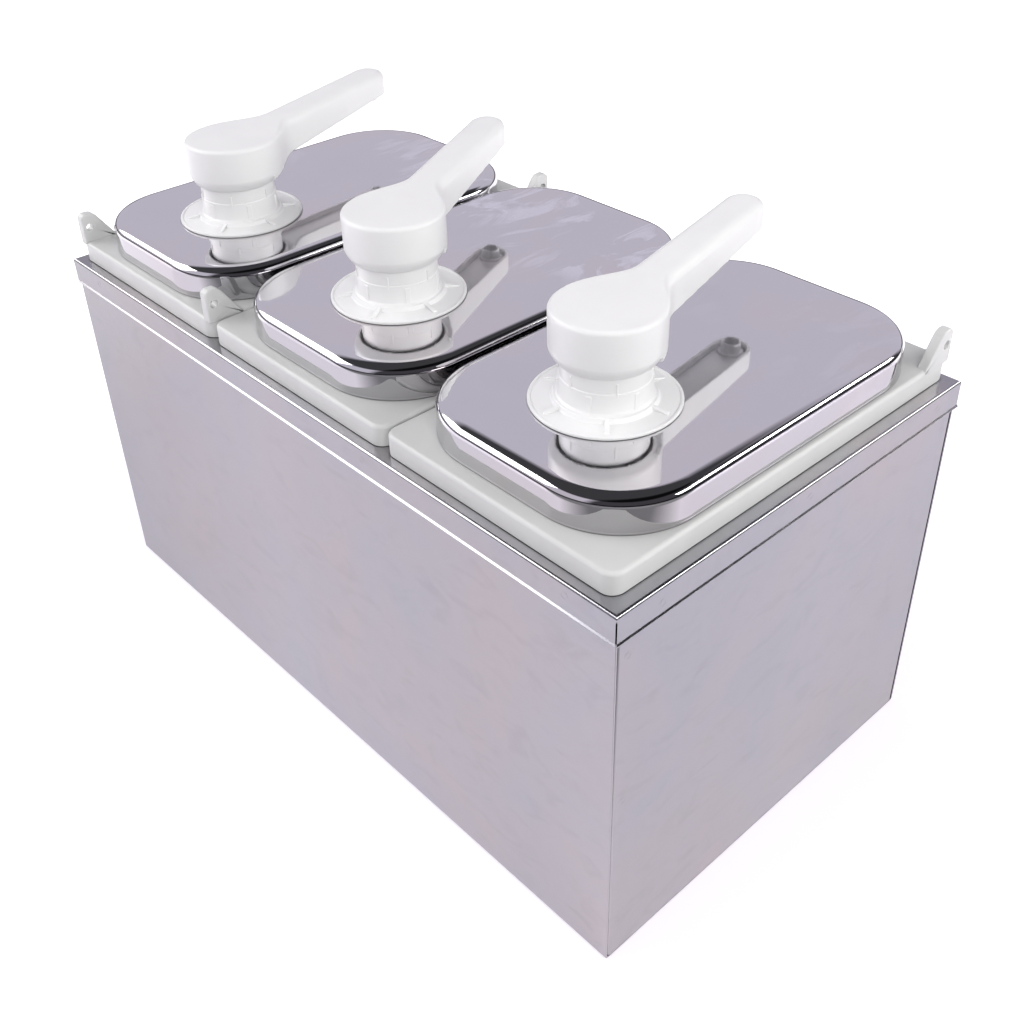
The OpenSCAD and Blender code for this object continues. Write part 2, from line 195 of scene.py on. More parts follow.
def make(name, shell, material, body, replaced=(), at=(0, 0, 0)):
    """A Blender object from a shell, riding on a CAD body."""
    v = np.vstack(shell.v) + np.array(at)
    n = np.vstack(shell.n)
    mesh = bpy.data.meshes.new(name)
    mesh.from_pydata((v * MM).tolist(), [], shell.f)
    mesh.polygons.foreach_set("use_smooth", [True] * len(mesh.polygons))
    mesh.normals_split_custom_set_from_vertices(n.tolist())
    mesh.update()
    obj = linked(name, mesh)
    mesh.materials.append(material)
    if replaced:
        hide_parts(*replaced)
    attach(obj, body)
    return obj


# ---------------------------------------------------------------- surfaces from distances

def union_round(a, b, r):
    """Two solids together, with a fillet of radius r."""
    u, v = np.maximum(r - a, 0), np.maximum(r - b, 0)
    return np.maximum(r, np.minimum(a, b)) - np.hypot(u, v)


def meet_round(a, b, r):
    """What two solids share, with its edge rounded to radius r."""
    u, v = np.maximum(r + a, 0), np.maximum(r + b, 0)
    return np.minimum(-r, np.maximum(a, b)) + np.hypot(u, v)


def surface(field, low, high, step):
    """Quad mesh of field = 0 over a box, its points pulled onto the surface, with normals."""
    axes = [np.arange(l, h + step, step) for l, h in zip(low, high)]
    grid = np.meshgrid(*axes, indexing="ij")
    d = field(*grid)
    shape = np.array(d.shape) - 1
    total = np.zeros(tuple(shape) + (3,))
    hits = np.zeros(tuple(shape))
    corners = [(i, j, k) for i in (0, 1) for j in (0, 1) for k in (0, 1)]

    def part(c):
        return d[c[0]:c[0] + shape[0], c[1]:c[1] + shape[1], c[2]:c[2] + shape[2]]

    for a in corners:
        for axis in range(3):
            if a[axis]:
                continue
            b = list(a)
            b[axis] = 1
            da, db = part(a), part(b)
            cross = (da < 0) != (db < 0)
            t = np.where(cross, da / np.where(cross, da - db, 1), 0)
            for m in range(3):
                total[..., m] += np.where(cross, a[m] + (t if m == axis else 0), 0)
            hits += cross
    active = hits > 0
    index = np.full(tuple(shape), -1)
    index[active] = np.arange(active.sum())
    cells = np.argwhere(active)
    p = (cells + total[active] / hits[active][:, None]) * step + np.array(low)
    faces = []
    inside = d < 0
    for axis in range(3):
        u, v = (axis + 1) % 3, (axis + 2) % 3
        s0 = [slice(1, -1)] * 3
        s1 = [slice(1, -1)] * 3
        s0[axis], s1[axis] = slice(0, -1), slice(1, None)
        a, b = inside[tuple(s0)], inside[tuple(s1)]
        for flag in (True, False):
            where = np.argwhere((a == flag) & (b != flag))
            if not len(where):
                continue
            where[:, u] += 1
            where[:, v] += 1
            quad = []
            for du, dv in ((-1, -1), (0, -1), (0, 0), (-1, 0)):
                c = where.copy()
                c[:, u] += du
                c[:, v] += dv
                quad.append(index[c[:, 0], c[:, 1], c[:, 2]])
            quad = np.stack(quad, 1)
            faces.append(quad if flag else quad[:, ::-1])
    faces = np.vstack(faces)
    faces = faces[(faces >= 0).all(1)]

    def slope(q):
        e = 0.02
        g = np.zeros_like(q)
        for m in range(3):
            o = np.zeros(3)
            o[m] = e
            g[:, m] = field(*(q + o).T) - field(*(q - o).T)
        return g / (2 * e)

    for _ in range(5):
        g = slope(p)
        size = np.maximum((g ** 2).sum(1), 0.2)
        move = np.clip(field(*p.T) / size, -0.5 * step, 0.5 * step)
        p = p - g * move[:, None]
    n = slope(p)
    n /= np.maximum(np.linalg.norm(n, axis=1), 1e-9)[:, None]
    out = Shell()
    out.points(p, n)
    out.f = [tuple(int(i) for i in f) for f in faces]
    return out


# ---------------------------------------------------------------- materials

PLASTIC_IOR = 1.46


def node_material(name):
    """A material with a Principled shader: returns it, its nodes and the shader."""
    m = bpy.data.materials.new(name)
    m.use_nodes = True
    nt = m.node_tree
    nt.nodes.clear()
    out = nt.nodes.new("ShaderNodeOutputMaterial")
    b = nt.nodes.new("ShaderNodeBsdfPrincipled")
    nt.links.new(b.outputs["BSDF"], out.inputs["Surface"])
    return m, nt, b


def coords(nt, scale=(1, 1, 1), turn=(0, 0, 0)):
    """The object's own coordinates, stretched and turned."""
    t = nt.nodes.new("ShaderNodeTexCoord")
    m = nt.nodes.new("ShaderNodeMapping")
    m.inputs["Scale"].default_value = scale
    m.inputs["Rotation"].default_value = turn
    nt.links.new(t.outputs["Object"], m.inputs["Vector"])
    return m.outputs["Vector"]


def noise(nt, vector, scale, detail=3.0, rough=0.55, distortion=0.0):
    n = nt.nodes.new("ShaderNodeTexNoise")
    n.inputs["Scale"].default_value = scale
    n.inputs["Detail"].default_value = detail
    n.inputs["Roughness"].default_value = rough
    n.inputs["Distortion"].default_value = distortion
    nt.links.new(vector, n.inputs["Vector"])
    return n.outputs["Fac"]


def ramp(nt, fac, stops, colour=False):
    """Colour ramp. stops: (position, value or colour)."""
    r = nt.nodes.new("ShaderNodeValToRGB")
    els = r.color_ramp.elements
    while len(els) < len(stops):
        els.new(0.5)
    for e, (p, c) in zip(els, stops):
        e.position = p
        e.color = (*c, 1) if colour else (c, c, c, 1)
    nt.links.new(fac, r.inputs["Fac"])
    return r.outputs["Color"]


def mixed(nt, fac, a, b, mode="MIX"):
    """Mix of two colours. fac, a and b are numbers, colours or sockets."""
    m = nt.nodes.new("ShaderNodeMix")
    m.data_type = "RGBA"
    m.blend_type = mode
    for key, value in (("Factor", fac), ("A", a), ("B", b)):
        sock = [s for s in m.inputs if s.name == key and s.enabled][0]
        if isinstance(value, bpy.types.NodeSocket):
            nt.links.new(value, sock)
        elif isinstance(value, tuple):
            sock.default_value = (*value, 1)
        else:
            sock.default_value = value
    return [s for s in m.outputs if s.enabled][0]


def times(nt, a, b):
    """Two colours multiplied."""
    return mixed(nt, 1.0, a, b, "MULTIPLY")


def bump(nt, b, height, strength, distance, before=None):
    """Bump on a shader, on top of an earlier bump if there is one."""
    n = nt.nodes.new("ShaderNodeBump")
    n.inputs["Strength"].default_value = strength
    n.inputs["Distance"].default_value = distance
    nt.links.new(height, n.inputs["Height"])
    if before is not None:
        nt.links.new(before, n.inputs["Normal"])
    nt.links.new(n.outputs["Normal"], b.inputs["Normal"])
    return n.outputs["Normal"]


def spread(nt, value, start, end, low, high):
    """Maps a value between two places to a value between two levels."""
    m = nt.nodes.new("ShaderNodeMapRange")
    for key, number in (("From Min", start), ("From Max", end), ("To Min", low), ("To Max", high)):
        m.inputs[key].default_value = number
    nt.links.new(value, m.inputs["Value"])
    return m.outputs["Result"]


def upward(nt, stops):
    """A value that goes by how far a face looks up."""
    t = nt.nodes.new("ShaderNodeTexCoord")
    way = nt.nodes.new("ShaderNodeSeparateXYZ")
    nt.links.new(t.outputs["Normal"], way.inputs["Vector"])
    return ramp(nt, way.outputs["Z"], stops)


def painted_gap_shade(nt, colour, reach, darkest):
    """Painted shade: darkens a colour inside folds and gaps, where shade falls."""
    ao = nt.nodes.new("ShaderNodeAmbientOcclusion")
    ao.inputs["Distance"].default_value = reach
    ao.samples = 8
    shade = ramp(nt, ao.outputs["AO"], [(0.30, darkest), (0.80, 1.0)])
    return times(nt, colour, shade)


def sheet_steel():
    """Mill-finish stainless sheet: faint cloudy tints, handling marks, soft gloss."""
    m, nt, b = node_material("sheet_steel")
    b.inputs["Metallic"].default_value = 1.0
    v = coords(nt)
    cloud = noise(nt, v, 13.0, 3.0, 0.55, 0.5)
    tint = ramp(nt, cloud, [(0.30, (0.480, 0.484, 0.518)), (0.50, (0.510, 0.496, 0.514)),
                            (0.70, (0.531, 0.492, 0.500))], True)
    marks = noise(nt, coords(nt, (1, 1, 2.2)), 46.0, 4.0, 0.6, 0.8)
    shade = ramp(nt, marks, [(0.28, 0.93), (0.50, 1.0), (0.74, 0.975)])
    tone = times(nt, tint, shade)
    # painted shade: faces that lie flat are kept brighter than the walls
    tone = times(nt, tone, upward(nt, [(0.50, 0.80), (0.85, 1.0)]))
    # darker towards the case's left end and towards its back
    place = nt.nodes.new("ShaderNodeSeparateXYZ")
    nt.links.new(v, place.inputs["Vector"])
    tone = times(nt, tone, spread(nt, place.outputs["X"], -0.19, -0.03, 0.77, 1.0))
    tone = times(nt, tone, spread(nt, place.outputs["Y"], 0.02, 0.11, 1.0, 0.90))
    # painted shade in the case's folds and gaps
    nt.links.new(painted_gap_shade(nt, tone, 0.0020, 0.14), b.inputs["Base Color"])
    rough = ramp(nt, noise(nt, v, 30.0, 4.0, 0.6, 0.4), [(0.25, 0.17), (0.75, 0.25)])
    nt.links.new(rough, b.inputs["Roughness"])
    first = bump(nt, b, noise(nt, v, 6.0, 1.0), 0.12, 0.0010)
    grain = noise(nt, coords(nt, (1, 1, 14)), 700.0, 1.0)
    bump(nt, b, grain, 0.02, 0.0001, first)
    return m


def lid_steel(name, residue):
    """Polished pressed steel: mirror with slight waves, fingerprints and film residue."""
    m, nt, b = node_material(name)
    b.inputs["Metallic"].default_value = 1.0
    v = coords(nt)
    cloud = noise(nt, v, 16.0, 3.0, 0.5, 0.5)
    tint = ramp(nt, cloud, [(0.30, (0.735, 0.735, 0.762)), (0.52, (0.762, 0.750, 0.772)),
                            (0.72, (0.782, 0.740, 0.750))], True)
    # streaks of film left on the far half of the top
    streak = noise(nt, coords(nt, (1.0, 0.33, 1.0), (0, 0, 0.75)), 48.0, 5.0, 0.62, 1.6)
    patch = noise(nt, v, 14.0, 2.0, 0.5)
    there = times(nt, ramp(nt, streak, [(0.50, 0.0), (0.60, 1.0)]),
                  ramp(nt, patch, [(0.42, 0.0), (0.52, 1.0)]))
    half = nt.nodes.new("ShaderNodeSeparateXYZ")
    nt.links.new(v, half.inputs["Vector"])
    film = times(nt, there, spread(nt, half.outputs["Y"], 0.005, 0.035, 0.0, 1.0))
    film = times(nt, film, (residue, residue, residue))
    tone = mixed(nt, film, tint, (0.95, 0.95, 1.0))
    # painted shade: the drawn wall is darker than the top
    tone = times(nt, tone, upward(nt, [(0.05, 0.68), (0.30, 1.0)]))
    # painted shade in the lid's folds and at its hem
    nt.links.new(painted_gap_shade(nt, tone, 0.0010, 0.35), b.inputs["Base Color"])
    soft = ramp(nt, noise(nt, v, 60.0, 4.0, 0.6, 0.8), [(0.35, 0.035), (0.62, 0.055), (0.8, 0.09)])
    rough = mixed(nt, film, soft, (0.26, 0.26, 0.26))
    nt.links.new(rough, b.inputs["Roughness"])
    first = bump(nt, b, noise(nt, v, 11.0, 1.0), 0.10, 0.0010)
    bump(nt, b, noise(nt, v, 420.0, 1.0), 0.006, 0.0001, first)
    return m


def plastic(name, colour, dark, rough, subsurface, radius, through):
    """Moulded plastic: slight tone changes, soft gloss, light passing through thin walls."""
    m, nt, b = node_material(name)
    b.inputs["IOR"].default_value = PLASTIC_IOR
    b.inputs["Subsurface Weight"].default_value = subsurface
    b.inputs["Subsurface Radius"].default_value = (1.0, 1.0, 1.0)
    b.inputs["Subsurface Scale"].default_value = radius
    v = coords(nt)
    cloud = noise(nt, v, 38.0, 3.0, 0.5, 0.4)
    tone = ramp(nt, cloud, [(0.35, dark), (0.62, colour)], True)
    nt.links.new(tone, b.inputs["Base Color"])
    nt.links.new(ramp(nt, noise(nt, v, 110.0, 3.0), [(0.3, rough - 0.03), (0.7, rough + 0.05)]),
                 b.inputs["Roughness"])
    bump(nt, b, noise(nt, v, 90.0, 1.0), 0.015, 0.0003)
    thin = nt.nodes.new("ShaderNodeBsdfTranslucent")
    nt.links.new(tone, thin.inputs["Color"])
    mix = nt.nodes.new("ShaderNodeMixShader")
    mix.inputs["Fac"].default_value = through
    nt.links.new(b.outputs["BSDF"], mix.inputs[1])
    nt.links.new(thin.outputs["BSDF"], mix.inputs[2])
    out = [n for n in nt.nodes if n.type == "OUTPUT_MATERIAL"][0]
    nt.links.new(mix.outputs["Shader"], out.inputs["Surface"])
    return m


def grained(name, metallic, scale, tones, low, high, grain, height):
    """Evenly speckled finish, for rubber, drawn wire and ground balls."""
    m, nt, b = node_material(name)
    b.inputs["Metallic"].default_value = metallic
    v = coords(nt)
    tone = ramp(nt, noise(nt, v, scale, 4.0), [(0.3, tones[0]), (0.7, tones[1])], True)
    nt.links.new(tone, b.inputs["Base Color"])
    rough = ramp(nt, noise(nt, v, 2.5 * scale), [(0.3, low), (0.7, high)])
    nt.links.new(rough, b.inputs["Roughness"])
    bump(nt, b, noise(nt, v, 12.5 * scale), grain, height)
    return m


STEEL = sheet_steel()
LIDS = {name: lid_steel(name + "_lid_steel", residue)
        for name, residue in (("left", 0.8), ("middle", 1.0), ("right", 0.15))}
WHITE = plastic("white_plastic", (0.890, 0.890, 0.890), (0.868, 0.868, 0.870), rough=0.33,
                subsurface=0.0, radius=0.001, through=0.05)
MILKY = plastic("milky_plastic", (0.735, 0.740, 0.732), (0.708, 0.714, 0.706), rough=0.33,
                subsurface=0.35, radius=0.0016, through=0.10)
NATURAL = plastic("natural_plastic", (0.74, 0.76, 0.75), (0.69, 0.71, 0.70), rough=0.34,
                  subsurface=0.0, radius=0.001, through=0.30)
BLACK = (0.018, 0.018, 0.019), (0.045, 0.045, 0.047)
BRIGHT = (0.46, 0.46, 0.48), (0.62, 0.62, 0.64)
RUBBER = grained("gasket_rubber", 0.0, 120.0, BLACK, 0.55, 0.8, 0.2, 0.0002)
SPRING = grained("spring_wire", 1.0, 200.0, BRIGHT, 0.18, 0.32, 0.06, 0.0001)
BALL = grained("valve_ball", 1.0, 200.0, BRIGHT, 0.08, 0.18, 0.06, 0.0001)


# ---------------------------------------------------------------- measures from the frame

def box_mm(node):
    """A CAD node's box, in millimetres."""
    lo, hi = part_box(node)
    return np.array(lo) * 1000, np.array(hi) * 1000


FRAME_LO, FRAME_HI = box_mm("top_frame")
SHELL_HI = box_mm("case_shell")[1]
CASE_W, CASE_D = (FRAME_HI - FRAME_LO)[:2]
CASE_H = FRAME_HI[2]
BAND_LOW = FRAME_LO[2]
SHEET = 1.0                    # the case's sheet steel
BEND = 1.5                     # outside radius of its bends
EDGE = 0.1                     # rounding of cut edges
LEAN = 1.2                     # radians a cut edge's normals lean towards the end
BAND_STRIP = 7.0               # width of the top that the band covers
FACE_INSET = 0.45              # the band's face stands this far behind its hem
MITRE_GAP = 0.42               # each fold of the band ends this far short of its mitre
SIDE_GAP, TUB_GAP = 6.0, 1.8   # from the case's side to a tub, and from tub to tub


# ---------------------------------------------------------------- case

def cap_strip(shell, base, size, flip):
    """Closes a folded sheet's end: its outer and inner lines have matching points."""
    for j in range(size // 2 - 1):
        quad = (base + j, base + j + 1, base + size - 2 - j, base + size - 1 - j)
        shell.f.append(quad[::-1] if flip else quad)


def draw_section(shell, rings, flip):
    """Joins the rings of a folded sheet's section and closes both ends."""
    size = len(rings[0][0])
    bases = [shell.points(p, n) for p, n in rings]
    for a, b in zip(bases[:-1], bases[1:]):
        shell.bridge(a, b, size, flip)
    cap_strip(shell, bases[0], size, not flip)
    cap_strip(shell, bases[-1], size, flip)


def along_ends(start, end):
    """Places along a sheet, with inset and lean of the normals: both ends are rounded."""
    return ((start, EDGE, -LEAN), (start + EDGE, 0, 0), (end - EDGE, 0, 0), (end, EDGE, LEAN))


def sheet_section(line, bends):
    """Closed section of a folded sheet from its outer line; the sheet lies on the left."""
    outer = [(x, z, r) for (x, z), r in zip(line, bends)]
    inner = []
    n = len(line)
    for i in range(n):
        p = np.array(line[i], float)
        dirs = []
        if i > 0:
            a = p - np.array(line[i - 1])
            dirs.append(a / np.linalg.norm(a))
        if i < n - 1:
            b = np.array(line[i + 1]) - p
            dirs.append(b / np.linalg.norm(b))
        lefts = [np.array([-t[1], t[0]]) for t in dirs]
        shift = lefts[0] * SHEET
        if len(lefts) == 2 and abs(lefts[0].dot(lefts[1])) < 0.99:
            shift = (lefts[0] + lefts[1]) * SHEET
        q = p + shift
        inner.append((q[0], q[1], max(bends[i] - SHEET, 0.08)))
    return round_path(outer + inner[::-1], closed=True, step=10.0)


def build_case():
    """Shell folded into front, floor and back, and two end panels with three flanges each."""
    half_w, half_d, top = SHELL_HI
    bends = (0.2, BEND, BEND, 0.2)
    shell = Shell()
    pos, nor = sheet_section([(-half_d, top), (-half_d, 0), (half_d, 0), (half_d, top)], bends)
    rings = []
    for x, inset, lean in along_ends(-half_w, half_w):
        q, c = pos - nor * inset, math.cos(lean)
        p = np.column_stack([np.full(len(q), x), q])
        n = np.column_stack([np.full(len(q), math.sin(lean)), nor * c])
        rings.append((p, n))
    draw_section(shell, rings, False)
    make("case_shell_sheet", shell, STEEL, "case", ["case_shell"])
    for side, node in ((-1, "left_end_panel"), (1, "right_end_panel")):
        lo, hi = box_mm(node)
        depth = hi[0] - lo[0]
        reach = hi[1] - 0.06
        panel = Shell()
        line = [(reach, -depth), (reach, 0.0), (-reach, 0.0), (-reach, -depth)]
        pos, nor = sheet_section(line, bends)
        # section lies in (y, x): draw it upwards
        rings = []
        for z, inset, lean in along_ends(lo[2], hi[2]):
            q, c = pos - nor * inset, math.cos(lean)
            p = np.stack([side * (half_w + q[:, 1]), q[:, 0], np.full(len(q), z)], 1)
            n = np.stack([side * nor[:, 1] * c, nor[:, 0] * c,
                          np.full(len(q), math.sin(lean))], 1)
            rings.append((p, n))
        draw_section(panel, rings, side > 0)
        # the flange along the floor is a plate of its own
        x0, x1 = side * (half_w - depth), side * (half_w - 1.2)
        w, cx = abs(x1 - x0), (x0 + x1) / 2
        rings = []
        for up, inset, nz in ((0, EDGE, -1.0), (EDGE, 0, 0.0), (0.9, 0, 0.0), (1, EDGE, 1.0)):
            pts, dirs = rounded_rect(w - 2 * inset, 2 * (reach - BEND) - 2 * inset, 0.5, 3)
            p = np.column_stack([pts[:, 0] + cx, pts[:, 1], np.full(len(pts), lo[2] + up)])
            n = np.column_stack([dirs * (1 - abs(nz)), np.full(len(pts), nz)])
            rings.append((p, n))
        floor_flange = Shell()
        floor_flange.loft(rings)
        panel.add(floor_flange)
        make(node + "_sheet", panel, STEEL, "case", [node])


def build_frame():
    """Top frame: a band folded down all round, mitred at the corners, and a flat top."""
    shell = Shell()
    strip, face = BAND_STRIP, FACE_INSET
    h, low = CASE_H, BAND_LOW
    for turn, length, reach in ((0, CASE_W, CASE_D / 2), (90, CASE_D, CASE_W / 2),
                                (180, CASE_W, CASE_D / 2), (270, CASE_D, CASE_W / 2)):
        # section (out, up): over the top edge inwards, down the inside and round the hem
        section = [(-face, h - 2.9, 0.1), (-face, h, 2.4), (-strip, h, 0.05),
                   (-strip, h - SHEET, 0.05), (-face - SHEET, h - SHEET, 1.4),
                   (-face - SHEET, h - 2.9, 0.1), (-face - SHEET, low, 0.2), (0.0, low, 0.3),
                   (0.0, low + 0.5, 0.15), (-face, low + 1.35, 0.1)]
        pos, nor = round_path(section, closed=True, step=15.0)
        # the hem's upper side shades as one facet, which looks further up at the case's ends
        hem = (pos[:, 1] < low + 2) & (nor[:, 1] > 0.2) & (nor[:, 0] > 0.2)
        nor[hem] = (0.707, 0.707) if turn % 180 == 0 else (0.50, 0.866)
        size = len(pos)
        outline = [tuple(q) for q in pos]
        c, s = math.cos(math.radians(turn)), math.sin(math.radians(turn))
        m = np.array([[c, -s, 0], [s, c, 0], [0, 0, 1]])
        slit = MITRE_GAP * np.clip((h - 2.4 - pos[:, 1]) / 0.4, 0, 1)
        bases = []
        for end in (-1, 1):
            along = end * (length / 2 + pos[:, 0] - slit)
            p = np.stack([along, np.full(size, -reach) - pos[:, 0], pos[:, 1]], 1) @ m.T
            n = np.stack([np.zeros(size), -nor[:, 0], nor[:, 1]], 1) @ m.T
            bases.append(shell.points(p, n))
            # the mitred end, with its own normals
            cap = shell.points(p, np.tile(np.array([end, 0.9, 0]) / 1.345 @ m.T, (size, 1)))
            tri = tessellate_polygon([[Vector((x, z, 0)) for x, z in outline]])
            for t in tri:
                q = [Vector(outline[i]) for i in t]
                ccw = (q[1] - q[0]).cross(q[2] - q[0]) > 0
                t = t if ccw == (end > 0) else t[::-1]
                shell.f.append(tuple(cap + i for i in t[::-1]))
        shell.bridge(bases[0], bases[1], size, True)
    make("top_frame_band", shell, STEEL, "case", ["top_frame"])
    # flat top with an opening for each tub
    bm = bmesh.new()

    def loop(pts):
        vs = [bm.verts.new((x * MM, y * MM, h * MM)) for x, y in pts]
        return [bm.edges.new((a, b)) for a, b in zip(vs, vs[1:] + vs[:1])]

    edges = loop([(sx * (CASE_W / 2 - strip), sy * (CASE_D / 2 - strip))
                  for sx, sy in ((-1, -1), (1, -1), (1, 1), (-1, 1))])
    pitch = (CASE_W - 2 * SIDE_GAP - 2 * TUB_GAP) / 3 + TUB_GAP
    for i in (-1, 0, 1):
        pts, _ = rounded_rect(pitch - 9.3, 195, 34, 12)
        edges += loop([(x + i * pitch, y) for x, y in pts])
    bmesh.ops.triangle_fill(bm, use_beauty=True, use_dissolve=False, edges=edges)
    bmesh.ops.recalc_face_normals(bm, faces=bm.faces)
    if bm.faces[0].normal.z < 0:
        bmesh.ops.reverse_faces(bm, faces=bm.faces)
    grown = bmesh.ops.extrude_face_region(bm, geom=list(bm.faces))
    under = [v for v in grown["geom"] if isinstance(v, bmesh.types.BMVert)]
    bmesh.ops.translate(bm, verts=under, vec=(0, 0, -SHEET * MM))
    bmesh.ops.recalc_face_normals(bm, faces=bm.faces)
    mesh = bpy.data.meshes.new("top_frame_plate")
    bm.to_mesh(mesh)
    bm.free()
    plate = linked("top_frame_plate", mesh)
    mesh.materials.append(STEEL)
    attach(plate, "case")


def build_weld_marks():
    """Faint rings left by spot welding, on the band and on the walls near the corners."""
    shell = Shell()
    zb = (CASE_H + BAND_LOW) / 2 + 0.8
    band_x, band_y = CASE_W / 2 - FACE_INSET, CASE_D / 2 - FACE_INSET
    ends = (-1, 1)
    spots = [((x, sy * band_y, zb + (x % 3) * 0.5), (0, sy, 0))
             for x in (-170, -62, 55, 172) for sy in ends]
    spots += [((sx * band_x, y, zb - (y % 5) * 0.4), (sx, 0, 0))
              for y in (-86, 0, 92) for sx in ends]
    spots += [((sx * SHELL_HI[0], sy * (SHELL_HI[1] - 6.5), z), (sx, 0, 0))
              for z in (172, 96, 22) for sx in ends for sy in ends]
    for place, out in spots:
        ring = Shell()
        closed_revolve(ring, [(1.35, -0.05, 0.02), (1.75, -0.05, 0.02), (1.62, 0.03, 0.03),
                              (1.48, 0.03, 0.03)], 28, 30)
        q = Vector(out).to_track_quat("Z", "Y").to_matrix().to_4x4()
        q.translation = Vector(place)
        shell.add(ring.moved(q))
    make("spot_weld_marks", shell, STEEL, "case")


# ---------------------------------------------------------------- tubs

RIM = 10.0                     # height of the rim above the case
TUB_WALL, DRAFT = 2.2, 0.045
EAR_HOLE = (4.1, 7.4)          # from the tub's end, and above the rim
EAR_HALF = 2.5                 # half of an ear's thickness


def ring_at(w, d, r, n, z, nx, nz, scale):
    """Rounded rectangle at a height, its normals leaning by (nx, nz)."""
    pts, dirs = rounded_rect(w * scale, d * scale, r * scale, n)
    return (np.column_stack([pts, np.full(len(pts), z)]),
            np.column_stack([dirs * nx, np.full(len(pts), nz)]))


def offset_rings(outline, path, n, taper=None):
    """Rings round an outline (width, depth, corner) along a path of (outwards, up)."""
    w, d, r = outline
    rings = []
    for (x, z), (nx, nz) in zip(*path):
        s = taper(z) if taper else 1.0
        rings.append(ring_at(w + 2 * x, d + 2 * x, r + x, n, z, nx, nz, s))
    return rings


def ear_shell():
    """Upright ear in the plane across X, base at z = 0, tub's end at y = 0, with a peg hole."""
    outline = [(0.1, -1.9, 1.3), (20.0, -1.9, 1.3), (17.2, 0.5, 3.0), (8.6, 12.9, 2.4),
               (6.6, 14.6, 2.4), (2.2, 14.9, 2.2), (0.1, 13.0, 1.8)]
    path, nor = round_path(outline, closed=True, step=14.0)
    # more points along the straight runs
    dense, dn = [], []
    for i in range(len(path)):
        p, q = path[i], path[(i + 1) % len(path)]
        a, b = nor[i], nor[(i + 1) % len(path)]
        steps = max(1, int(np.linalg.norm(q - p) / 1.6))
        for k in range(steps):
            t = k / steps
            dense.append(p * (1 - t) + q * t)
            m = a * (1 - t) + b * t
            dn.append(m / np.linalg.norm(m))
    path, nor = np.array(dense), np.array(dn)
    size = len(path)
    hole = np.array(EAR_HOLE)
    rel = path - hole
    ang = np.arctan2(rel[:, 1], rel[:, 0])
    half, edge, bore = EAR_HALF, 0.8, 2.0
    shell = Shell()
    rings = []

    def hole_ring(x, r, nx, nr):
        c, s = np.cos(ang), np.sin(ang)
        return (np.stack([np.full(size, x), hole[0] + r * c, hole[1] + r * s], 1),
                np.stack([np.full(size, nx), -nr * c, -nr * s], 1))

    def out_ring(x, inset, nx, nr):
        q = path - nor * inset
        return (np.stack([np.full(size, x), q[:, 0], q[:, 1]], 1),
                np.stack([np.full(size, nx), nor[:, 0] * nr, nor[:, 1] * nr], 1))

    for side in (-1, 1):
        seq = [hole_ring(side * (half - 0.25), bore, 0, 1),
               hole_ring(side * half, bore + 0.25, side, 0),
               out_ring(side * half, edge + 0.25, side, 0)]
        for a in (90, 67, 45, 22, 0):
            t = math.radians(a)
            seq.append(out_ring(side * (half - edge + edge * math.sin(t)),
                                edge * (1 - math.cos(t)), side * math.sin(t), math.cos(t)))
        rings += seq if side < 0 else seq[::-1]
    bases = [shell.points(p, n) for p, n in rings]
    for a, b in zip(bases, bases[1:] + bases[:1]):
        shell.bridge(a, b, size)
    return shell


def build_tub(name):
    """Tub: drafted basin, rim with a skirt, raised lip and two ears at one end."""
    lo, hi = box_mm(name + "_tub")
    cx = (lo[0] + hi[0]) / 2
    cy = (lo[1] + hi[1]) / 2
    w, d = (hi - lo)[:2]
    base, rim, wall = CASE_H, RIM, TUB_WALL
    depth = base + rim - lo[2]
    n = 14
    outer = (w, d, 6.0)
    lip = (w - 12.5 - 2.0, d - 21.5 - 2.0, 30.0)
    shell = Shell()
    fl = rim - depth

    def taper(z):
        return 1.0 - DRAFT * min(max((rim - z) / depth, 0), 1)

    # outside of the basin, floor first, then up to the underside of the rim
    body = (lip[0] + 2.0, lip[1] + 2.0, 31.0)
    path = round_path([(-25.0, fl, 0), (0.0, fl, 9.0), (0.0, rim - wall, 0.8),
                       (2.0, rim - wall, 0)])
    rings = offset_rings(body, path, n, taper)
    # skirt of the rim and its top
    path = round_path([(-3.2, rim - wall, 0), (-wall, rim - wall, 0.8), (-wall, 0, 0.5),
                       (0, 0, 0.5), (0, rim, 2.5), (-3.6, rim, 0)], step=13.0)
    rings += offset_rings(outer, path, n)
    # lip and the inside of the basin
    path = round_path([(1.4, rim, 0), (0, rim, 0.9), (0, rim + 4, 0.5), (-1.2, rim + 4, 0.5),
                       (-1.2, fl + wall, 6.8), (-24.0, fl + wall, 0)])
    rings += offset_rings(lip, path, n, taper)
    shell.loft(rings)
    end = EAR_END[name]
    for side in (-1, 1):
        m = Matrix(((1, 0, 0, side * (w / 2 - EAR_HALF)), (0, -end, 0, end * d / 2),
                    (0, 0, 1, rim), (0, 0, 0, 1)))
        moved = ear_shell().moved(m)
        if end > 0:
            moved.f = [f[::-1] for f in moved.f]
        shell.add(moved)
    make(name + "_tub_moulding", shell, MILKY, name + "_tub", [name + "_tub"],
         at=(cx, cy, base))


# ---------------------------------------------------------------- lids

LID_SHEET, LID_CORNER = 0.8, 38.0
LID_HOLE_R = 17.0              # for the pump's collar


